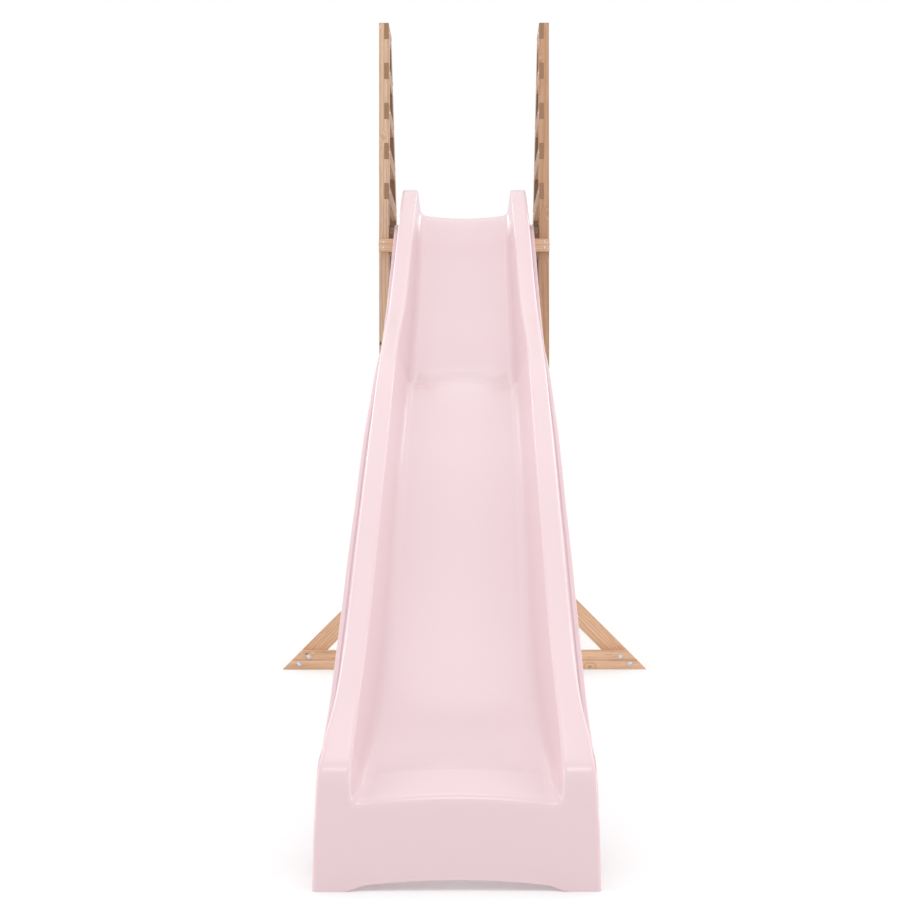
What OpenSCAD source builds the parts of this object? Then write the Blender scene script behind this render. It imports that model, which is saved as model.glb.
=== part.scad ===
// Toddler slide: a one-piece moulded wave slide that hangs on a timber climbing frame.
// +Z is up, the slide runs towards -Y, the ladder leans back towards +Y.
// The origin is on the ground, under the middle of the whole object.

/* [Frame timber] */
// Thickness of the frame timber
timber_t = 34; // [30:1:36]
// Width of the frame timber
timber_w = 64; // [58:1:68]
// Height of the front posts
post_h = 2280; // [2240:5:2360]
// Width across the outer faces of the posts
frame_w = 600; // [590:1:640]
// Lean of the ladder stringers from the vertical, in degrees
ladder_lean = 31; // [28:0.5:33]
// Distance from the posts' front face to the stringers' front face, at the top
top_gap = 89; // [80:1:100]

/* [Side slats] */
// Number of guard slats on each side, above the platform
slats = 5; // [3:1:5]
// Thickness of a guard slat
slat_t = 16; // [12:1:18]
// Height of a guard slat
slat_h = 57; // [50:1:60]
// Height from one guard slat to the next
slat_pitch = 141.5; // [130:0.5:142]

/* [Platform] */
// Height of the platform's top face
deck_top = 1568; // [1560:1:1570]
// Number of platform boards
deck_boards = 7; // [6:1:7]
// Step from one platform board to the next
deck_pitch = 73; // [70:1:74]
// Height of the front crossboard
crossboard_h = 44; // [40:1:50]
// Thickness of the front crossboard
crossboard_t = 22; // [18:1:24]

/* [Ladder] */
// Number of ladder treads
treads = 5; // [4:1:6]
// Depth of a tread, front to back
tread_d = 90; // [80:1:100]
// Depth of the housing that holds a tread in each stringer
housing = 10; // [6:1:14]

/* [Base] */
// Length of the front base beam, which is the object's overall width
base_w = 1276; // [1200:2:1400]

/* [Slide] */
// Width of the slide over its side flanges
slide_w = 495; // [480:1:510]
// Wall thickness of the moulding
wall = 5; // [4:0.5:6]
// Distance from the posts' front face to the slide's front edge
slide_run = 2562; // [2552:1:2572]

/* [Fasteners] */
// Diameter of the domed heads on the base bolts
bolt_head_d = 17; // [15:1:21]
// Diameter of the bolt shanks
bolt_d = 8; // [6:1:10]
// Diameter of the wood screws' heads
screw_head_d = 9; // [8:0.5:10]
// Diameter of the wood screws' shanks
screw_d = 4.5; // [4:0.5:5]

/* [Hidden] */
SIDES = ["left", "right"];

cedar = [0.87, 0.70, 0.51];
cedar_dark = [0.78, 0.55, 0.37];
blush = [0.95, 0.83, 0.85];
zinc = [0.80, 0.80, 0.80];
round_fn = 40;
slack = 0.1;                                  // clearance round each fastener

// The frame is drawn from the posts' front face, which lies this far behind the origin.
stringer_depth = timber_w / cos(ladder_lean); // the stringer's depth along the ground
lean = tan(ladder_lean);
rear_run = top_gap + post_h * lean + stringer_depth;
frame_y = (slide_run - rear_run) / 2;
inner_x = frame_w / 2 - timber_t;             // the posts' inner faces

// Distance of the stringers' front face behind the posts' front face, at height z
function stringer_front(z) = top_gap + (post_h - z) * lean;
function side(s) = s == "left" ? -1 : 1;
function slat_bottom(k) = post_h - slat_h - (k - 1) * slat_pitch;
function slat_end(k) = stringer_front(slat_bottom(k) + slat_h / 2) + stringer_depth;
function tread_top(k) = k * deck_top / (treads + 1);
function tread_mid(k) = stringer_front(tread_top(k) - timber_t / 2) + stringer_depth / 2;

deck_front = timber_w + 2;                    // the first board starts just behind the posts
board_w = timber_w;
bearer_top = deck_top - timber_t;
bearer_end = stringer_front(bearer_top) + stringer_depth - 6;
crossboard_top = 1514;
foot_rail_z = 30;
side_rail_z = 120;
side_rail_t = 22;

// ---------- shared helpers ----------

module at_frame() translate([0, frame_y, 0]) children();

// A plain board between two opposite corners
module board(a, b) translate(a) cube(b - a);

// A board on one side of the frame, drawn for the right and mirrored for the left
module on_side(s) { if (s == "right") children(); else mirror([1, 0, 0]) children(); }

// A domed wood screw whose head sits on z = 0, its shank going down
module screw(len) {
    rotate_extrude($fn = round_fn)
        polygon([[0, -len], [screw_d / 2, -len + screw_d], [screw_d / 2, 0], [screw_head_d / 2, 0],
                 [screw_head_d / 2 - 0.6, 1.2], [screw_head_d / 4, 2], [0, 2.2]]);
}
module screw_hole(len) translate([0, 0, -len]) cylinder(d = screw_d + 2 * slack, h = len + 1, $fn = round_fn);

// A carriage bolt with a low domed head, sitting on z = 0
module bolt(len) {
    dome = bolt_head_d / 2;
    rotate_extrude($fn = round_fn)
        polygon([[0, -len], [bolt_d / 2, -len], [bolt_d / 2, 0], [dome, 0], [dome - 0.5, 1.2],
                 for (a = [20 : 15 : 80]) [dome * cos(a), 1.2 + 3.2 * sin(a)], [0, 4.4]]);
}
module bolt_hole(len) translate([0, 0, -len]) cylinder(d = bolt_d + 2 * slack, h = len + 1, $fn = round_fn);

// Directions: the fastener's own +Z turned to point out of a face
module facing_front() rotate([90, 0, 0]) children();
module facing_back() rotate([-90, 0, 0]) children();
module facing_out() rotate([0, 90, 0]) children();     // towards +X
module facing_in() rotate([0, -90, 0]) children();     // towards -X

// ---------- where the fasteners sit (drawn in the frame's own axes) ----------

bolt_rows = [[-bolt_d - 4, -timber_w / 5], [bolt_d + 4, timber_w / 5]];
bolt_x = base_w / 2 - 76;                     // middle of the pair at each end of the beam
module at_base_bolts() {
    for (s = [-1, 1], k = [0, 1])
        translate([s * (bolt_x - bolt_rows[k][0] * 1.4), -timber_t, timber_w / 2 + bolt_rows[k][1]])
            facing_front() children();
}
module at_post_bolts() {
    for (s = [-1, 1], z = [18, timber_w - 18])
        translate([s * (inner_x + timber_t / 2), -timber_t, z]) facing_front() children();
}
module at_crossboard_screws() {
    for (s = [-1, 1], z = [0.27, 0.73])
        translate([s * (inner_x + timber_t / 2), -crossboard_t, crossboard_top - crossboard_h * z])
            facing_front() children();
}
module at_slat_screws() {
    for (k = [1 : slats], y = [timber_w / 2, slat_end(k) - stringer_depth / 2])
        translate([inner_x, y, slat_bottom(k) + slat_h / 2]) facing_in() children();
}
module at_deck_screws() {
    for (s = [-1, 1], k = [1 : deck_boards], y = [0.25, 0.75])
        translate([s * (inner_x - timber_t / 2), deck_front + (k - 1) * deck_pitch + board_w * y, deck_top])
            children();
}
module at_tread_screws() {
    for (k = [1 : treads], y = [-16, 16])
        translate([frame_w / 2, tread_mid(k) + y, tread_top(k) - timber_t / 2]) facing_out() children();
}
module at_brace_screws() {
    for (z = [0, 1])
        translate([frame_w / 2 + brace_seat[z], timber_t / 2, brace_height[z]]) facing_out() children();
}
module at_bearer_bolts() {
    for (y = [timber_w / 2, stringer_front(bearer_top - timber_w / 2) + stringer_depth / 2])
        translate([frame_w / 2, y, bearer_top - timber_w / 2]) facing_out() children();
}
module at_side_rail_screws() {
    for (y = [timber_w / 2, stringer_front(side_rail_z + timber_w / 2) + stringer_depth / 2],
         z = [timber_w * 0.3, timber_w * 0.7])
        translate([inner_x - side_rail_t, y, side_rail_z + z]) facing_in() children();
}
module at_foot_rail_screws() {
    for (z = [18, timber_w - 18])
        translate([frame_w / 2, foot_rail_y + timber_t / 2, foot_rail_z + z]) facing_out() children();
}
module both_sides() { children(); mirror([1, 0, 0]) children(); }

// ---------- frame ----------

module slat_space(k, grow = 0)
    board([inner_x - grow, -grow, slat_bottom(k)],
          [inner_x + slat_t, slat_end(k), slat_bottom(k) + slat_h + (k == 1 ? grow : 0)]);

module tread_space(k)
    board([0, tread_mid(k) - tread_d / 2, tread_top(k) - timber_t],
          [inner_x + housing, tread_mid(k) + tread_d / 2, tread_top(k)]);

module front_post(s) color(s == "left" ? cedar : cedar_dark) at_frame() on_side(s) difference() {
    board([inner_x, 0, 0], [frame_w / 2, timber_w, post_h]);
    for (k = [1 : slats]) slat_space(k, 1);
    at_post_bolts() bolt_hole(timber_t + timber_w + 1);
    at_crossboard_screws() screw_hole(crossboard_t + 40);
    at_slat_screws() screw_hole(slat_t + 14);
    at_bearer_bolts() bolt_hole(2 * timber_t);
    at_side_rail_screws() screw_hole(side_rail_t + 26);
    at_brace_screws() screw_hole(brace_screw_len);
}

// The stringer's outline, seen from the side: two slanting edges, cut level at top and ground
module stringer_outline()
    polygon([for (z = [0, post_h]) [stringer_front(z), z],
             for (z = [post_h, 0]) [stringer_front(z) + stringer_depth, z]]);

module ladder_stringer(s) color(cedar) at_frame() on_side(s) difference() {
    translate([inner_x, 0, 0]) rotate([90, 0, 90]) linear_extrude(timber_t) stringer_outline();
    for (k = [1 : slats]) slat_space(k, 1);
    for (k = [1 : treads]) tread_space(k);
    at_slat_screws() screw_hole(slat_t + 14);
    at_tread_screws() screw_hole(80);
    at_bearer_bolts() bolt_hole(2 * timber_t);
    at_side_rail_screws() screw_hole(side_rail_t + 26);
    at_foot_rail_screws() screw_hole(80);
}

module guard_slat(s, k) color(cedar) at_frame() on_side(s) difference() {
    slat_space(k);
    at_slat_screws() screw_hole(slat_t + 14);
}

module deck_bearer(s) color(cedar_dark) at_frame() on_side(s) difference() {
    board([inner_x - timber_t, 0, bearer_top - timber_w], [inner_x, bearer_end, bearer_top]);
    at_bearer_bolts() bolt_hole(2 * timber_t + 1);
    at_deck_screws() screw_hole(60);
}

module deck_board(k) color(cedar) at_frame() difference() {
    y = deck_front + (k - 1) * deck_pitch;
    board([-inner_x, y, bearer_top], [inner_x, y + board_w, deck_top]);
    at_deck_screws() screw_hole(60);
    if (k == 1) at_clip_screws() screw_hole(30);
}

module front_crossboard() color(cedar) at_frame() difference() {
    board([-frame_w / 2, -crossboard_t, crossboard_top - crossboard_h],
          [frame_w / 2, 0, crossboard_top]);
    at_crossboard_screws() screw_hole(crossboard_t + 40);
}

// ---------- base ----------

module front_base_beam() color(cedar_dark) at_frame() difference() {
    rotate([90, 0, 0]) linear_extrude(timber_t)
        polygon([[-base_w / 2, 0], [base_w / 2, 0], [base_w / 2 - timber_w, timber_w],
                 [-base_w / 2 + timber_w, timber_w]]);
    at_base_bolts() bolt_hole(timber_t + 1);
    at_post_bolts() bolt_hole(timber_t + 1);
}

// Each brace rises at 45 degrees from behind the end of the beam to the outer face of a post
brace_diag = timber_w * sqrt(2);
brace_foot = base_w / 2;                      // the brace's outer lower corner
brace_rise = brace_foot - frame_w / 2;
brace_height = [brace_rise - brace_diag * 0.72, brace_rise - brace_diag * 0.34];
brace_seat = [22, 22];
brace_screw_len = 50;
module brace_outline()
    polygon([[frame_w / 2, brace_rise], [frame_w / 2, brace_rise - brace_diag],
             [brace_foot - brace_diag, 0], [brace_foot, 0]]);

module base_brace(s) color(cedar_dark) at_frame() on_side(s) difference() {
    translate([0, timber_t, 0]) rotate([90, 0, 0]) linear_extrude(timber_t) brace_outline();
    at_base_bolts() bolt_hole(2 * timber_t + 1);
    at_brace_screws() {
        screw_hole(brace_screw_len);
        cylinder(d = screw_head_d + 2, h = 120, $fn = round_fn);
    }
}

// ---------- ladder ----------

foot_rail_y = stringer_front(foot_rail_z + timber_w / 2) + (stringer_depth - timber_t) / 2;

module ladder_tread(k) color(cedar) at_frame() difference() {
    union() { tread_space(k); mirror([1, 0, 0]) tread_space(k); }
    both_sides() at_tread_screws() screw_hole(80);
}

module ladder_foot_rail() color(cedar) at_frame() difference() {
    board([-inner_x, foot_rail_y, foot_rail_z], [inner_x, foot_rail_y + timber_t, foot_rail_z + timber_w]);
    both_sides() at_foot_rail_screws() screw_hole(80);
}

module side_rail(s) color(cedar) at_frame() on_side(s) difference() {
    board([inner_x - side_rail_t, 0, side_rail_z],
          [inner_x, stringer_front(side_rail_z + timber_w) + stringer_depth - 4, side_rail_z + timber_w]);
    at_side_rail_screws() screw_hole(side_rail_t + 26);
}

// ---------- slide ----------

// Height along the run, from the posts forward: [distance, height]
rail_path = [[-98, 1712], [0, 1680], [110, 1604], [240, 1507], [385, 1395], [560, 1278], [700, 1196],
             [850, 1127], [980, 1068], [1110, 1010], [1220, 950], [1450, 810], [1650, 692],
             [1860, 560], [2100, 414], [2230, 349], [2350, 291], [2440, 243]];
floor_path = [[-98, 1604], [0, 1600], [60, 1575], [150, 1502], [250, 1408], [500, 1216], [700, 1086],
              [760, 1049], [830, 1008], [890, 974], [940, 952], [1000, 941], [1060, 929],
              [1160, 886], [1300, 812], [1450, 730], [1650, 604], [1850, 476], [2000, 381],
              [2150, 292], [2280, 230], [2400, 185], [2440, 172]];
flange_path = [[-98, 1575], [-58, 1575], [0, 1545], [100, 1468], [390, 1264], [700, 1085],
               [900, 1020], [1040, 965], [1200, 892], [1370, 818], [1510, 742], [1690, 632],
               [1870, 528], [2000, 440], [2130, 358], [2250, 284], [2400, 221], [2440, 209]];
// Half widths along the run: the floor, and the rail's inner and outer edges
floor_half = [[-98, 153], [200, 151], [900, 149], [2000, 148], [2150, 151], [2280, 157], [2400, 167],
              [2440, 171]];
rail_inner_half = [[-98, 165], [240, 172], [600, 175], [1000, 184], [2100, 184], [2440, 186]];
rail_outer_half = [[-98, 216], [400, 224], [1200, 228], [2200, 228], [2350, 231], [2440, 240]];
foot_half = [[-98, 235], [2200, 235.5], [2350, 237], [2440, slide_w / 2 - 4]];
// How far the floor's middle stands above its edges, and how far at the front lip
lip_crown = 11;
floor_crown = [[-98, -13], [150, -10], [500, -2], [800, 0], [850, 3], [890, 13], [940, 23], [1000, 22],
               [1060, 19], [1180, 12], [1400, 3], [1900, 2], [2120, -3], [2230, -13], [2330, -12],
               [2400, 2], [2440, lip_crown]];

// The foot turns round this point, given as distance along the run and height
pivot = [2440, 90];
foot_lean = 0.2;                              // the front face leans out towards the ground
foot_flare = 0.012;                           // and widens by this much
floor_slope = 0.29;                           // fall of the floor and the rails ahead of the pivot
rail_slope = 0.53;
front_gap = slide_run - pivot[0] - foot_lean * pivot[1];
return_gap = [flange_path[len(flange_path) - 1][1] - pivot[1], 40];
rail_end_r = 46;                              // rounding of the rails' upper ends

function lerp(a, b, t) = a + (b - a) * t;
function seg(p, u, i = 0) = (i >= len(p) - 2 || u < p[i + 1][0]) ? i : seg(p, u, i + 1);
function tangent(p, i) = let (a = p[max(i - 1, 0)], b = p[min(i + 1, len(p) - 1)]) (b[1] - a[1]) / (b[0] - a[0]);
// A smooth curve through the points of a path
function along(p, u) = let (
        i = seg(p, u), a = p[i], b = p[i + 1], h = b[0] - a[0], t = (u - a[0]) / h,
        t2 = t * t, t3 = t2 * t)
    (2 * t3 - 3 * t2 + 1) * a[1] + (t3 - 2 * t2 + t) * h * tangent(p, i)
    + (3 * t2 - 2 * t3) * b[1] + (t3 - t2) * h * tangent(p, i + 1);

// Distance from the pivot to a corner made by a sloping top and the leaning front face
function corner_reach(top, slope, a, sharp) =
    pow(pow((sin(a) + slope * cos(a)) / top, sharp) + pow((cos(a) + foot_lean * sin(a)) / front_gap, sharp),
        -1 / sharp);

// The rails' upper ends drop in a quarter round
function rail_end(u) = let (d = rail_end_r - (u - rail_path[0][0]))
    d <= 0 ? 0 : rail_end_r * (1 - sqrt(max(0, 1 - pow(d / rail_end_r, 2))));
function rail_at(u) = max(along(rail_path, u) - 1.5 * rail_end(u), along(floor_path, u) + 6);

// One cross-section, from the middle out: corners as [x, distance, how far the rounding reaches]
function corners(fl, ra, fg, crown, fh, rih, roh, fth) = [
    [0, fl + crown, 0], [fh * 0.35, fl + crown * 0.88, 0], [fh * 0.65, fl + crown * 0.58, 0],
    [fh, fl, 20], [rih, ra, 9], [roh, ra, 12], [fth, fg, 1], [slide_w / 2, fg, 0]];

// Corner i rounded by a short curve of four points; a corner that isn't rounded gives itself
function toward(p, q, d) = p + (q - p) * min(d / norm(q - p), 0.45);
function flat2(p) = [p[0], p[1]];
function rounded(c, i) = let (p = flat2(c[i]))
    c[i][2] == 0 ? [p]
    : let (a = toward(p, flat2(c[i - 1]), c[i][2]), b = toward(p, flat2(c[i + 1]), c[i][2]),
           n = c[i][2] > 2 ? 3 : 1)
      [for (k = [0 : n]) let (t = k / n) lerp(lerp(a, p, t), lerp(p, b, t), t)];
function half_profile(c) = [for (i = [0 : len(c) - 1]) each rounded(c, i)];

// The same line moved inwards by the wall thickness
function unit(v) = v / max(norm(v), 1e-6);
function turned(v) = [v[1], -v[0]];
function inset(h) = [for (i = [0 : len(h) - 1])
    let (a = i == 0 ? [0, 0] : unit(h[i] - h[i - 1]), b = i == len(h) - 1 ? [0, 0] : unit(h[i + 1] - h[i]),
         n = unit(turned(unit(a + b))))
    i == 0 ? h[i] - [0, wall] : i == len(h) - 1 ? h[i] - [0, wall] : h[i] + n * wall];

// A closed ring: the outer skin from one flange to the other, then the underside back
function ring(h) = let (g = inset(h), n = len(h) - 1) concat(
    [for (i = [n : -1 : 1]) [-h[i][0], h[i][1]]], h,
    [for (i = [n : -1 : 0]) g[i]], [for (i = [1 : n]) [-g[i][0], g[i][1]]]);

// The cut-out under the front face: feet at the sides, a low arch between them
function foot_edge(x) = let (a = abs(x), t = min(max((194 - a) / 46, 0), 1))
    (3 * t * t - 2 * t * t * t) * (13 + 7 * (1 - pow(a / 180, 2)));

// Stations along the run, then round the pivot, then down to the ground
run_stations = [-98, -97, -94, -88, -78, -64, -48, -28, 0, 30, 60, 100, 150, 210, 290, 380, 480, 580,
                680, 760, 830, 900, 960, 1010, 1060, 1110, 1170, 1250, 1350, 1460, 1580, 1700,
                1820, 1940, 2050, 2150, 2240, 2320, 2390];
turn_stations = [90 : -6 : 0];
drop_stations = [0.25, 0.5, 0.75, 1];

function run_section(u) = let (h = half_profile(corners(along(floor_path, u), rail_at(u),
        along(flange_path, u), along(floor_crown, u), along(floor_half, u), along(rail_inner_half, u),
        along(rail_outer_half, u), along(foot_half, u))))
    [for (p = ring(h)) [p[0], -u, p[1]]];

function turn_ring(a) = let (
        t = sin(a), rise = floor_path[len(floor_path) - 1][1] - pivot[1],
        rail_rise = rail_path[len(rail_path) - 1][1] - pivot[1],
        fl = corner_reach(rise, floor_slope, a, 15), ra = corner_reach(rail_rise, rail_slope, a, 11),
        mid = corner_reach(rise + lip_crown, floor_slope, a, 15))
    ring(half_profile(corners(fl, max(ra, fl + 0.5), lerp(return_gap[1], return_gap[0], t), mid - fl,
        lerp(181, 171, t), lerp(190, 186, t), lerp(244, 240, t), slide_w / 2 - lerp(1, 4, t))));
function turn_section(a) = [for (p = turn_ring(a))
    [p[0], -(pivot[0] + p[1] * cos(a)), pivot[1] + p[1] * sin(a)]];

function drop_section(t) = [for (p = turn_ring(0))
    let (z = lerp(pivot[1], foot_edge(p[0]), t), out = foot_lean * (pivot[1] - z) * (p[1] > 60 ? 1 : 0))
    [p[0] * (1 + foot_flare * t), -(pivot[0] + p[1] + out), z]];

slide_rings = concat([for (u = run_stations) run_section(u)], [for (a = turn_stations) turn_section(a)],
                     [for (t = drop_stations) drop_section(t)]);

module slide_chute() color(blush) at_frame() {
    n = len(slide_rings[0]);
    rows = len(slide_rings);
    half = n / 2;
    polyhedron(
        points = [for (r = slide_rings) each r],
        faces = concat(
            [for (i = [0 : rows - 2], j = [0 : n - 1]) let (k = (j + 1) % n)
                each [[i * n + j, i * n + k, (i + 1) * n + k], [i * n + j, (i + 1) * n + k, (i + 1) * n + j]]],
            [for (j = [0 : half - 2]) let (a = j, b = j + 1, c = n - 2 - j, d = n - 1 - j)
                each [[a, c, b], [a, d, c]]],
            [for (j = [0 : half - 2]) let (o = (rows - 1) * n, a = o + j, b = a + 1, c = o + n - 2 - j, d = c + 1)
                each [[a, b, c], [a, c, d]]]),
        convexity = 10);
}

// ---------- slide clips: a foot on the deck and a lip over the slide's flange ----------

clip_y = deck_front + 6;
clip_l = 22;
clip_base_x = [slide_w / 2 + 1.5, inner_x - 2];
flange_top = flange_path[0][1];
module at_clip_screws() {
    both_sides() translate([(clip_base_x[0] + clip_base_x[1]) / 2, clip_y + clip_l / 2, flange_top + 3]) children();
}
module slide_clip(s) color(zinc) at_frame() on_side(s) difference() {
    union() {
        board([clip_base_x[0], clip_y, deck_top], [clip_base_x[1], clip_y + clip_l, flange_top + 3]);
        board([slide_w / 2 - 8, clip_y, flange_top], [clip_base_x[1], clip_y + clip_l, flange_top + 3]);
    }
    at_clip_screws() screw_hole(30);
}

// ---------- fasteners ----------

module base_bolts() color(zinc) at_frame() at_base_bolts() bolt(2 * timber_t + 14);
module base_washers() color(zinc) at_frame() at_base_bolts() translate([0, 0, -2 * timber_t - 2])
    difference() {
        cylinder(d = 20, h = 2, $fn = round_fn);
        translate([0, 0, -1]) cylinder(d = bolt_d + 2 * slack, h = 4, $fn = round_fn);
    }
module base_nuts() color(zinc) at_frame() at_base_bolts() translate([0, 0, -2 * timber_t - 9])
    difference() {
        cylinder(d = 15, h = 7, $fn = 6);
        translate([0, 0, -1]) cylinder(d = bolt_d + 2 * slack, h = 9, $fn = round_fn);
    }
module post_bolts() color(zinc) at_frame() at_post_bolts() bolt(timber_t + timber_w);
module crossboard_screws() color(zinc) at_frame() at_crossboard_screws() screw(crossboard_t + 38);
module slat_screws(s) color(zinc) at_frame() on_side(s) at_slat_screws() screw(slat_t + 12);
module deck_screws() color(zinc) at_frame() at_deck_screws() screw(58);
module tread_screws() color(zinc) at_frame() both_sides() at_tread_screws() screw(78);
module brace_screws() color(zinc) at_frame() both_sides() at_brace_screws() screw(brace_screw_len - 2);
module bearer_bolts() color(zinc) at_frame() both_sides() at_bearer_bolts() bolt(2 * timber_t);
module side_rail_screws() color(zinc) at_frame() both_sides() at_side_rail_screws() screw(side_rail_t + 24);
module foot_rail_screws() color(zinc) at_frame() both_sides() at_foot_rail_screws() screw(78);
module clip_screws() color(zinc) at_frame() at_clip_screws() screw(28);

// ---------- one line for each node ----------

slide_chute();
for (s = SIDES) {
    front_post(s);
    ladder_stringer(s);
    deck_bearer(s);
    base_brace(s);
    side_rail(s);
    slide_clip(s);
    slat_screws(s);
    for (k = [1 : slats])
        guard_slat(s, k);
}
for (k = [1 : deck_boards])
    deck_board(k);
for (k = [1 : treads])
    ladder_tread(k);
front_crossboard();
front_base_beam();
ladder_foot_rail();
base_bolts();
base_nuts();
base_washers();
post_bolts();
crossboard_screws();
deck_screws();
tread_screws();
brace_screws();
bearer_bolts();
side_rail_screws();
foot_rail_screws();
clip_screws();
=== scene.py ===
"""Looks for the toddler slide: a moulded wave slide on a timber climbing frame."""
import math

import bmesh
import bpy
import numpy as np
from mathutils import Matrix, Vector


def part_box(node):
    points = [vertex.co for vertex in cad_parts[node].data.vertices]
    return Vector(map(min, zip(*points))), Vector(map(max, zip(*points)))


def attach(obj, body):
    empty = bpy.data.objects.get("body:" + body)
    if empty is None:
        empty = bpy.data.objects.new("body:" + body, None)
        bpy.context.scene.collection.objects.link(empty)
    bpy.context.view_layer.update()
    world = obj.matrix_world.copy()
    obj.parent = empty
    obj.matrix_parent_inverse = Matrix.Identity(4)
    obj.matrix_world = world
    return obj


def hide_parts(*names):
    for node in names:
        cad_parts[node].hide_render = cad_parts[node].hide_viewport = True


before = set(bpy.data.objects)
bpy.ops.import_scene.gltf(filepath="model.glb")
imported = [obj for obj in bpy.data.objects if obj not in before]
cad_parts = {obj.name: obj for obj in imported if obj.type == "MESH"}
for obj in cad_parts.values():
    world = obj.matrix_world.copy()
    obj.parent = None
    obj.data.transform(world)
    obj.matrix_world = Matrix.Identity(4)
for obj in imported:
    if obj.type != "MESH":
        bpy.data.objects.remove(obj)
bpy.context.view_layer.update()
MM = 0.001

# ---------- places read from the frame ----------

post_low, post_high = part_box("front_post_left")
chute_low, chute_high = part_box("slide_chute")
FRAME_Y = post_low[1] / MM                    # the posts' front face, in mm
FOOT_FLARE = 0.012                            # how much the slide's foot widens towards the ground
SLIDE_W = (chute_high[0] - chute_low[0]) / MM / (1 + FOOT_FLARE)
SLIDE_RUN = FRAME_Y - chute_low[1] / MM       # from the posts' front face to the slide's front edge
LADDER_LEAN = math.radians(31)               # assumed, as in the CAD


# ---------- camera ----------

STAND_OFF = 4.98                              # metres in front of the posts, chosen to suit the slide's run
EYE_HEIGHT = 0.747                            # metres above the ground
EYE_SIDE = 0.0269                             # metres right of the object's middle
CAMERA_ROLL = math.radians(0.05)


def make_camera():
    """A level camera straight in front. The frame's shift puts the object where it stands in the view."""
    cam = bpy.data.cameras.new("camera")
    cam.sensor_width = 36
    cam.lens = 54.957
    cam.shift_x = -0.0113
    cam.shift_y = -0.0054
    cam.dof.use_dof = False
    cam.clip_end = 60
    obj = bpy.data.objects.new("camera", cam)
    bpy.context.scene.collection.objects.link(obj)
    obj.location = (EYE_SIDE, FRAME_Y * MM - STAND_OFF, EYE_HEIGHT)
    obj.rotation_euler = (math.radians(90), CAMERA_ROLL, 0)
    bpy.context.scene.camera = obj


make_camera()


# ---------- slide: the CAD shell's paths on a finer grid, with its own corner roundings ----------

# Paths are (distance in front of the posts, height or half width), in mm
RAIL = [(-98, 1712), (0, 1680), (110, 1604), (240, 1507), (385, 1395), (560, 1278), (700, 1196),
        (850, 1127), (980, 1068), (1110, 1010), (1220, 950), (1450, 810), (1650, 692),
        (1860, 560), (2100, 414), (2230, 349), (2350, 291), (2440, 243)]
FLOOR = [(-98, 1604), (0, 1600), (60, 1575), (150, 1502), (250, 1408), (500, 1216), (700, 1086),
         (760, 1049), (830, 1008), (890, 974), (940, 952), (1000, 941), (1060, 929),
         (1160, 886), (1300, 812), (1450, 730), (1650, 604), (1850, 476), (2000, 381),
         (2150, 292), (2280, 230), (2400, 185), (2440, 172)]
FLANGE = [(-98, 1575), (-58, 1575), (0, 1545), (100, 1468), (390, 1264), (700, 1085),
          (900, 1020), (1040, 965), (1200, 892), (1370, 818), (1510, 742), (1690, 632),
          (1870, 528), (2000, 440), (2130, 358), (2250, 284), (2400, 221), (2440, 209)]
FLOOR_HALF = [(-98, 153), (200, 151), (900, 149), (2000, 148), (2150, 151), (2280, 157), (2400, 167),
              (2440, 171)]
RAIL_INNER = [(-98, 165), (240, 172), (600, 175), (1000, 184), (2100, 184), (2440, 186)]
RAIL_OUTER = [(-98, 216), (400, 224), (1200, 228), (2200, 228), (2350, 231), (2440, 240)]
FOOT_HALF = [(-98, 235), (2200, 235.5), (2350, 237), (2440, SLIDE_W / 2 - 4)]
LIP_CROWN = 11                                # how far the front lip's middle stands above its ends
CROWN = [(-98, -13), (150, -10), (500, -2), (800, 0), (850, 3), (890, 13), (940, 23), (1000, 22),
         (1060, 19), (1180, 12), (1400, 3), (1900, 2), (2120, -3), (2230, -13), (2330, -12), (2400, 2),
         (2440, LIP_CROWN)]
UPPER_END = RAIL[0][0]
END_ROUND = 46                                # radius of the rails' upper ends
RUN_STEP = 10.0                               # between cross-sections along the run
PIVOT = (2440, 90)                            # the front of the slide turns down round this point
TURN_STEP = 0.9                               # degrees between cross-sections in the turn
FACE_ROWS = 8                                 # rows down the front face below the turn
FACE_LEAN = 0.2
FLOOR_SLOPE, RAIL_SLOPE = 0.29, 0.53
FLOOR_SHARP, RAIL_SHARP = 15, 11              # how tightly floor and rails turn down, more is tighter
RAIL_STEP = 0.5                               # how far the rails' front stands ahead of the face
FRONT_GAP = SLIDE_RUN - RAIL_STEP - PIVOT[0] - FACE_LEAN * PIVOT[1]
WALL = 5.0
LIP = 6.0                                     # the flanges' outer edge
GROOVE = 2.4                                  # depth of the groove between flange and rail
SHOULDER = 2.0                                # flat strip beside each rounding, so flat walls shade flat


def tangent(path, i):
    a, b = path[max(i - 1, 0)], path[min(i + 1, len(path) - 1)]
    return (b[1] - a[1]) / (b[0] - a[0])


def along(path, u):
    """Height or half width at distance u along the run, on a smooth curve through the path's points."""
    i = 0
    while i < len(path) - 2 and u >= path[i + 1][0]:
        i += 1
    (ua, va), (ub, vb) = path[i], path[i + 1]
    h = ub - ua
    t = (u - ua) / h
    return ((2 * t ** 3 - 3 * t ** 2 + 1) * va + (t ** 3 - 2 * t ** 2 + t) * h * tangent(path, i)
            + (3 * t ** 2 - 2 * t ** 3) * vb + (t ** 3 - t ** 2) * h * tangent(path, i + 1))


def rail_height(u):
    """The rails' top, with their upper ends dropping in a quarter round."""
    d = END_ROUND - (u - UPPER_END)
    drop = 0 if d <= 0 else END_ROUND * (1 - math.sqrt(max(0.0, 1 - (d / END_ROUND) ** 2)))
    return max(along(RAIL, u) - 1.5 * drop, along(FLOOR, u) + 6)


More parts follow.
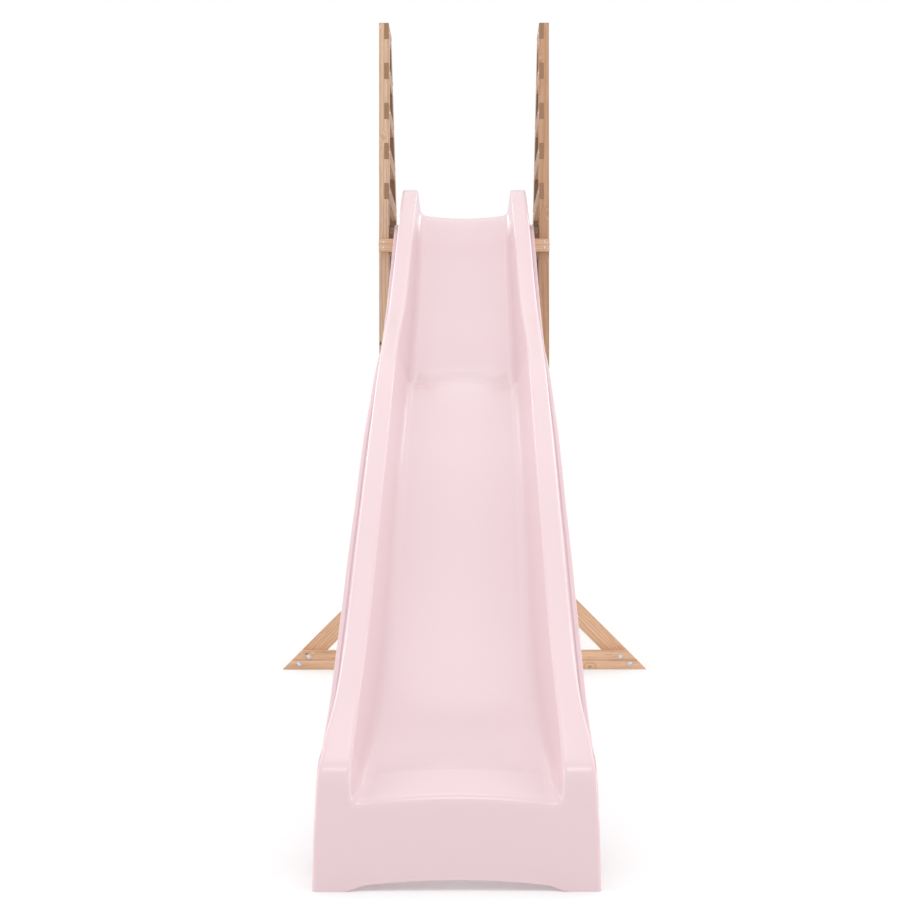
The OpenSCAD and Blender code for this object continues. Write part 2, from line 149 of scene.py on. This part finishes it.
def corner_reach(top, slope, a, sharp):
    """Distance from the pivot to the corner between a sloping top and the leaning front face."""
    top_term = (math.sin(a) + slope * math.cos(a)) / top
    face_term = (math.cos(a) + FACE_LEAN * math.sin(a)) / FRONT_GAP
    return (top_term ** sharp + face_term ** sharp) ** (-1 / sharp)


def lerp(a, b, t):
    return a + (b - a) * t


MIDDLE = (0, 0.12, 0.24, 0.36, 0.48, 0.6, 0.72, 1)  # places across half the floor
FLAT_POINTS = len(MIDDLE) - 1                 # these corners across the floor aren't rounded
LAST_RAIL = FLAT_POINTS + 2                   # the last corner with a large rounding
RAIL_STEPS, LIP_STEPS = 9, 3                  # pieces in a large and in a small rounding
MOST_REACH, MOST_SHOULDER = 0.45, 0.48        # parts of a side that a rounding and its shoulder may take


def floor_heights(u):
    """The floor across at u, crowned or hollowed in the middle."""
    return [along(FLOOR, u) + along(CROWN, u) * (1 - k * k) for k in MIDDLE]


def corners(floors, rail, flange, floor_half, inner, outer, foot):
    """Half of a cross-section from the middle out, as (x, distance, reach of the rounding).

    Gives the top, then the underside.
    """
    half_w = SLIDE_W / 2
    lip_in = min(foot + 3.0, half_w - 0.8)
    groove = GROOVE * min(max((half_w - foot) / 12, 0.05), 1)
    middle = [(floor_half * k, floor, 0) for k, floor in zip(MIDDLE[:-1], floors)]
    floor = floors[-1]
    top = middle + [(floor_half, floor, 26), (inner, rail, 8), (outer, rail, 9),
                    (foot, flange - groove, 1), (lip_in, flange, 1.2), (half_w, flange, 2.2),
                    (half_w, flange - LIP, 0)]
    under = [(x, z - WALL, 0) for x, z, _ in middle]
    under += [(floor_half + 4.5, floor - WALL, 24), (inner + 4.6, rail - WALL, 5),
              (outer - 4.6, rail - WALL, 6), (foot - 5.5, flange - LIP, 1), (lip_in - 1, flange - LIP, 1),
              (half_w - 0.6, flange - LIP - 0.4, 0.3), (half_w, flange - LIP - 0.1, 0)]
    return top, under


def rounded(points):
    """The polyline with each corner turned into a curve that reaches the given distance along both sides."""
    line = []
    for i, (x, y, reach) in enumerate(points):
        p = Vector((x, y))
        if i < FLAT_POINTS or i == len(points) - 1:
            line.append(p)
            continue
        steps = LIP_STEPS if i > LAST_RAIL else RAIL_STEPS
        a, b = Vector(points[i - 1][:2]), Vector(points[i + 1][:2])
        pa = p + (a - p) * min(reach / (a - p).length, MOST_REACH)
        pb = p + (b - p) * min(reach / (b - p).length, MOST_REACH)
        line.append(p + (a - p) * min((reach + SHOULDER) / (a - p).length, MOST_SHOULDER))
        for k in range(steps + 1):
            t = k / steps
            line.append(pa.lerp(p, t).lerp(p.lerp(pb, t), t))
        line.append(p + (b - p) * min((reach + SHOULDER) / (b - p).length, MOST_SHOULDER))
    return line


def ring(halves):
    half, under = (rounded(h) for h in halves)
    return ([(-p.x, p.y) for p in reversed(half[1:])] + [tuple(p) for p in half]
            + [tuple(p) for p in reversed(under)] + [(-p.x, p.y) for p in under[1:]])


def foot_edge(x):
    """Height of the front face's lower edge: feet at the sides, a low arch between them."""
    t = min(max((194 - abs(x)) / 40, 0), 1)
    return (3 * t * t - 2 * t ** 3) * (10 + 9 * (1 - (abs(x) / 160) ** 2))


def flare(z):
    """How much wider the foot is at a height."""
    t = min(max((190 - z) / 120, 0), 1)
    return 1 + FOOT_FLARE * (3 * t * t - 2 * t ** 3)


def slide_rings():
    """The cross-sections along the run, then round the turn, then down the front face to the ground."""
    rings = []
    ends = [UPPER_END + END_ROUND * (1 - math.cos(math.radians(a))) for a in range(0, 90, 6)]
    run = ends + list(np.arange(UPPER_END + END_ROUND, PIVOT[0], RUN_STEP))
    for u in run:
        section = corners(floor_heights(u), rail_height(u), along(FLANGE, u), along(FLOOR_HALF, u),
                          along(RAIL_INNER, u), along(RAIL_OUTER, u), along(FOOT_HALF, u))
        rings.append([(x, -u, z) for x, z in ring(section)])
    rise = FLOOR[-1][1] - PIVOT[1]
    rail_rise = RAIL[-1][1] - PIVOT[1]
    flange_rise = FLANGE[-1][1] - PIVOT[1]
    for deg in np.arange(90, -0.1, -TURN_STEP):
        a = math.radians(deg)
        t = math.sin(a)
        floors = [corner_reach(rise + LIP_CROWN * (1 - k * k), FLOOR_SLOPE, a, FLOOR_SHARP)
                  for k in MIDDLE]
        rail = max(corner_reach(rail_rise, RAIL_SLOPE, a, RAIL_SHARP), floors[-1] + RAIL_STEP)
        turn = ring(corners(floors, rail, lerp(40, flange_rise, t), lerp(181, 171, t),
                            lerp(190, 186, t), 246 - 30 * max(0, t - 0.8), SLIDE_W / 2 - lerp(1, 4, t)))
        rings.append([(x * flare(PIVOT[1] + r * t), -(PIVOT[0] + r * math.cos(a)), PIVOT[1] + r * t)
                      for x, r in turn])
    for t in np.linspace(0, 1, FACE_ROWS + 1)[1:]:
        row = []
        for x, r in turn:
            z = lerp(PIVOT[1], foot_edge(x), t)
            out = FACE_LEAN * (PIVOT[1] - z) if r > 60 else 0
            row.append((x * flare(z), -(PIVOT[0] + r + out), z))
        rings.append(row)
    return rings


def make_slide(plastic):
    """The moulded shell: rings of the cross-section, joined and closed at both ends."""
    rings = slide_rings()
    n = len(rings[0])
    bm = bmesh.new()
    rows = [[bm.verts.new((x * MM, (FRAME_Y + y) * MM, z * MM)) for x, y, z in r] for r in rings]
    for a, b in zip(rows, rows[1:]):
        for j in range(n):
            k = (j + 1) % n
            bm.faces.new((a[j], a[k], b[k], b[j])).smooth = True
    for row, flip in ((rows[0], False), (rows[-1], True)):
        for j in range(n // 2 - 1):
            quad = (row[j], row[n - 1 - j], row[n - 2 - j], row[j + 1])
            face = bm.faces.new(quad if not flip else quad[::-1])
            face.smooth = True
        for j in range(n):
            bm.edges.get((row[j], row[(j + 1) % n])).smooth = False
    bmesh.ops.recalc_face_normals(bm, faces=bm.faces)
    mesh = bpy.data.meshes.new("slide_shell")
    bm.to_mesh(mesh)
    bm.free()
    obj = bpy.data.objects.new("slide_shell", mesh)
    bpy.context.scene.collection.objects.link(obj)
    mesh.materials.append(plastic)
    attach(obj, "root")
    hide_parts("slide_chute")


# ---------- materials ----------

class Graph:
    """Short-hand for building a material's nodes."""

    def __init__(self, name):
        self.material = bpy.data.materials.new(name)
        self.material.use_nodes = True
        self.tree = self.material.node_tree
        self.shader = self.tree.nodes["Principled BSDF"]

    def node(self, kind, inputs=(), **settings):
        made = self.tree.nodes.new("ShaderNode" + kind)
        for key, value in settings.items():
            setattr(made, key, value)
        for key, value in dict(inputs).items():
            self.set(made, key, value)
        return made

    def set(self, node, key, value):
        if isinstance(value, bpy.types.NodeSocket):
            self.tree.links.new(value, node.inputs[key])
        else:
            node.inputs[key].default_value = value

    def math(self, operation, a, b=0.0, c=0.0):
        return self.node("Math", {0: a, 1: b, 2: c}, operation=operation).outputs[0]

    def vector(self, operation, a, b=(0, 0, 0)):
        made = self.node("VectorMath", {0: a, 1: b}, operation=operation)
        return made.outputs["Value" if operation in ("LENGTH", "DOT_PRODUCT") else "Vector"]

    def noise(self, vector, scale, detail=2.0, rough=0.5):
        return self.node("TexNoise", {"Vector": vector, "Scale": scale, "Detail": detail,
                                      "Roughness": rough}).outputs["Fac"]

    def ramp(self, value, low, high, to_low=0.0, to_high=1.0):
        return self.node("MapRange", {0: value, 1: low, 2: high, 3: to_low, 4: to_high},
                         interpolation_type="SMOOTHSTEP").outputs[0]

    def mix(self, fac, a, b):
        made = self.node("Mix", data_type="RGBA")
        self.set(made, 0, fac)
        for key, value in ((6, a), (7, b)):
            self.set(made, key, (*value, 1) if isinstance(value, tuple) else value)
        return made.outputs[2]

    def bump(self, height, distance, strength):
        return self.node("Bump", {"Height": height, "Distance": distance, "Strength": strength}).outputs[0]


def moulded_plastic():
    g = Graph("pink_moulded_plastic")
    at = g.node("TexCoord").outputs["Object"]
    colour = g.mix(g.noise(at, 1.3, 0), PINK_DEEP, PINK)
    g.set(g.shader, "Base Color", colour)
    g.set(g.shader, "Roughness", 0.24)
    g.set(g.shader, "IOR", 1.47)
    return g.material


def painted_edge_shade(g, coord, size):
    """1 along the edges of a straight board, where a dark line of painted shade stands in for the shadow
    lines between the boards.
    """
    off_centre = g.vector("SUBTRACT", coord.outputs["Generated"], (0.5, 0.5, 0.5))
    half = g.vector("MULTIPLY", g.vector("ABSOLUTE", off_centre), size)
    inward = g.node("SeparateXYZ", {0: g.vector("SUBTRACT", tuple(0.5 * s for s in size), half)}).outputs
    low, high = g.math("MINIMUM", inward[0], inward[1]), g.math("MAXIMUM", inward[0], inward[1])
    second = g.math("MAXIMUM", low, g.math("MINIMUM", high, inward[2]))
    return g.ramp(second, 0.0016, 0.0005)


def timber(name, turn, seed, light, dark, seam=None, size=None):
    """Softwood sawn along one axis. turn brings the board's length to X, seam is a glue line's height,
    and size is given for straight boards."""
    g = Graph(name)
    coord = g.node("TexCoord")
    place = g.node("Mapping", {"Vector": coord.outputs["Object"], "Rotation": turn}).outputs[0]
    if seam is not None:
        up = g.node("SeparateXYZ", {0: coord.outputs["Object"]}).outputs[2]
        over = g.math("GREATER_THAN", up, seam)
        place = g.vector("ADD", place, g.node("CombineXYZ", {0: g.math("MULTIPLY", over, 3.7),
                                                             1: g.math("MULTIPLY", over, 0.013)}).outputs[0])
    at = g.vector("ADD", place, (seed * 3.17, 0, 0))
    cells = g.vector("ADD", g.vector("MULTIPLY", at, (9, 14, 14)), (0, seed * 1.7, seed * 2.3))
    knot = g.node("TexVoronoi", {"Vector": cells, "Scale": 1.0, "Randomness": 1.0},
                  feature="F1").outputs["Distance"]
    swirl = g.ramp(knot, 0.3, 0.03, 0, 0.008)
    warp = g.noise(g.vector("MULTIPLY", at, (1.1, 9, 9)), 1.0, 2)
    wobble = g.noise(g.vector("MULTIPLY", at, (7, 70, 70)), 1.0, 2)
    pith = (0, 0.045 + 0.02 * math.sin(seed * 2.1), 0.07 * math.cos(seed * 1.3))
    across = g.vector("MULTIPLY", g.vector("ADD", at, pith), (0, 1, 1))
    radius = g.math("ADD", g.vector("LENGTH", across), swirl)
    radius = g.math("MULTIPLY_ADD", warp, 0.03, radius)
    radius = g.math("MULTIPLY_ADD", wobble, 0.0032, radius)
    rings_per_metre = 175
    year = g.math("FRACT", g.math("MULTIPLY", radius, rings_per_metre))
    late = g.math("MULTIPLY", g.ramp(year, 0.35, 0.9), g.ramp(year, 1.0, 0.93))
    streak = g.noise(g.vector("MULTIPLY", at, (16, 620, 620)), 1.0, 3, 0.65)
    band = g.noise(g.vector("MULTIPLY", at, (2.2, 55, 55)), 1.0, 3)
    colour = g.mix(g.math("MULTIPLY", late, 0.75), light, dark)
    colour = g.mix(g.ramp(band, 0.32, 0.72, 0, 0.42), colour, dark)
    colour = g.mix(g.ramp(streak, 0.54, 0.7, 0, 0.62), colour, tuple(0.62 * c for c in dark))
    colour = g.mix(g.ramp(streak, 0.42, 0.28, 0, 0.3), colour, tuple(min(1, 1.18 * c) for c in light))
    halo = g.ramp(knot, 0.13, 0.05)
    heart = g.ramp(knot, 0.065, 0.045)
    colour = g.mix(g.math("MULTIPLY", halo, 0.55), colour, tuple(0.7 * c for c in dark))
    colour = g.mix(g.math("MULTIPLY", heart, 0.9), colour, (0.085, 0.038, 0.018))
    facing = g.node("VectorRotate", {"Vector": coord.outputs["Normal"], "Rotation": turn},
                    rotation_type="EULER_XYZ").outputs[0]
    along_x = g.math("ABSOLUTE", g.node("SeparateXYZ", {0: facing}).outputs[0])
    sawn = g.ramp(along_x, 0.75, 0.95)
    pores = g.noise(at, 700, 3, 0.7)
    end = g.mix(g.ramp(pores, 0.4, 0.65), tuple(0.55 * c for c in dark), tuple(0.9 * c for c in dark))
    colour = g.mix(g.math("MULTIPLY", sawn, 0.85), colour, end)
    if seam is not None:
        glue = g.ramp(g.math("ABSOLUTE", g.math("SUBTRACT", up, seam)), 0.0014, 0.0004)
        colour = g.mix(g.math("MULTIPLY", glue, 0.5), colour, (0.14, 0.06, 0.03))
    if size is not None:
        # painted shade: a dark line along the board's edges, for the shadow lines between boards
        edge = g.math("MULTIPLY", painted_edge_shade(g, coord, size), 0.6)
        colour = g.mix(edge, colour, tuple(0.4 * c for c in dark))
    g.set(g.shader, "Base Color", colour)
    rough = g.math("MULTIPLY_ADD", streak, 0.22, 0.44)
    g.set(g.shader, "Roughness", rough)
    relief = g.math("MULTIPLY_ADD", late, 0.5, g.math("MULTIPLY", streak, 0.8))
    g.set(g.shader, "Normal", g.bump(relief, 0.00025, 0.7))
    return g.material


def zinc(name, tone):
    g = Graph(name)
    at = g.node("TexCoord").outputs["Object"]
    flake = g.node("TexVoronoi", {"Vector": at, "Scale": 420.0}, feature="F1").outputs["Color"]
    grey = g.node("SeparateColor", {0: flake}).outputs[0]
    colour = g.mix(grey, tuple(0.82 * t for t in tone), tone)
    g.set(g.shader, "Base Color", colour)
    g.set(g.shader, "Metallic", 1.0)
    g.set(g.shader, "Roughness", g.ramp(g.noise(at, 300, 3), 0.3, 0.7, 0.14, 0.26))
    return g.material


PINK = (0.706, 0.542, 0.569)
PINK_DEEP = (0.694, 0.529, 0.557)
TAN = ((0.63, 0.44, 0.305), (0.46, 0.285, 0.175))
RED = ((0.53, 0.31, 0.19), (0.39, 0.205, 0.105))
HONEY = ((0.75, 0.485, 0.315), (0.53, 0.295, 0.165))
# The guard slats' tone and the stringers' and bearers' tone below are darker than their timber: painted
# shade for their shaded sides and undersides, on top of the stringers' own brown.
UMBER_DARKENED_AS_SHADE = ((0.42, 0.245, 0.145), (0.39, 0.205, 0.105))
BROWN_DARKENED_AS_SHADE = ((0.32, 0.18, 0.10), (0.21, 0.105, 0.052))

UPRIGHT = (0, math.radians(90), 0)
LEVEL = (0, 0, 0)
FORE_AFT = (0, 0, math.radians(-90))
LEANING = (LADDER_LEAN, math.radians(90), 0)


def finish_boards():
    """Every board has its own piece of timber, with the grain along its length."""
    turns = {"front_post": UPRIGHT, "ladder_stringer": LEANING, "guard_slat": FORE_AFT,
             "deck_bearer": FORE_AFT, "side_rail": FORE_AFT}
    tones = {"front_post_left": TAN, "front_post_right": RED, "ladder_stringer": BROWN_DARKENED_AS_SHADE,
             "front_base_beam": HONEY, "front_crossboard": HONEY,
             "base_brace_left": HONEY, "base_brace_right": HONEY, "guard_slat": UMBER_DARKENED_AS_SHADE,
             "deck_board": TAN, "ladder_tread": TAN}
    seams = {"front_base_beam": 0.5, "front_crossboard": 0.5}
    steel = zinc("zinc_bright", (0.68, 0.72, 0.78))
    # The clips' metal is coloured near-black brown, far darker than zinc, so the clips blend into the dark
    # notch round them.
    dull = zinc("zinc_dull", (0.15, 0.125, 0.105))
    for k, (name, obj) in enumerate(sorted(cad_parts.items())):
        if name == "slide_chute":
            continue
        if any(word in name for word in ("bolt", "nut", "washer", "screw", "clip")):
            material = dull if "clip" in name else steel
        else:
            turn = next((t for word, t in turns.items() if name.startswith(word)), LEVEL)
            if name == "base_brace_left":
                turn = (0, math.radians(45), 0)
            if name == "base_brace_right":
                turn = (0, math.radians(-45), 0)
            tone = next((t for word, t in tones.items() if name.startswith(word)), BROWN_DARKENED_AS_SHADE)
            low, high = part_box(name)
            seam = lerp(low[2], high[2], seams[name]) if name in seams else None
            straight = not name.startswith(("ladder_stringer", "base_brace"))
            size = tuple(high[i] - low[i] for i in range(3)) if straight else None
            material = timber("timber_" + name, turn, k + 1.0, *tone, seam=seam, size=size)
        for slot in obj.material_slots:
            slot.material = material


# ---------- floor and light ----------

def make_stage():
    """A matt floor and an even white surround."""
    g = Graph("studio_floor")
    at = g.node("TexCoord").outputs["Object"]
    tint = g.mix(g.noise(at, 3, 2), (0.84, 0.84, 0.84), (0.855, 0.855, 0.855))
    g.set(g.shader, "Base Color", tint)
    g.set(g.shader, "Roughness", 0.9)
    g.set(g.shader, "Specular IOR Level", 0.0)
    size = 60
    mesh = bpy.data.meshes.new("floor")
    mesh.from_pydata([(-size, -size, 0), (size, -size, 0), (size, size, 0), (-size, size, 0)], [],
                     [(0, 1, 2, 3)])
    mesh.materials.append(g.material)
    floor = bpy.data.objects.new("floor", mesh)
    bpy.context.scene.collection.objects.link(floor)
    world = bpy.data.worlds.new("world")
    world.use_nodes = True
    background = world.node_tree.nodes["Background"]
    background.inputs["Color"].default_value = (1, 1, 1, 1)
    background.inputs["Strength"].default_value = 1.0
    bpy.context.scene.world = world
    bpy.context.scene.view_settings.view_transform = "Standard"


def add_light(name, kind, place, aim, power, **settings):
    data = bpy.data.lights.new(name, kind)
    data.energy = power
    for key, value in settings.items():
        setattr(data, key, value)
    obj = bpy.data.objects.new(name, data)
    obj.location = place
    obj.rotation_euler = (Vector(aim) - Vector(place)).to_track_quat("-Z", "Y").to_euler()
    bpy.context.scene.collection.objects.link(obj)


def make_lights():
    add_light("sky_fill", "SUN", (0, 2.6, 5), (0, 0, 0), 0.2, angle=math.radians(50))
    add_light("overhead", "SUN", (0, -1.0, 2.9), (0, 0, 0), 0.3, angle=math.radians(12))
    add_light("deck_box", "AREA", (-0.1, -0.9, 3.3), (0, -0.2, 1.3), 4.5, shape="RECTANGLE",
              size=0.9, size_y=0.9)
    for side, x in (("left", -1), ("right", 1)):
        add_light("side_fill_" + side, "SUN", (5 * x, 0, 1.4), (0, 0, 0), 0.8, angle=math.radians(40))
        add_light("edge_" + side, "SUN", (4.9 * x, 7.5, 4.3), (0, 0, 0), 0.17, angle=math.radians(16))


make_slide(moulded_plastic())
finish_boards()
make_stage()
make_lights()
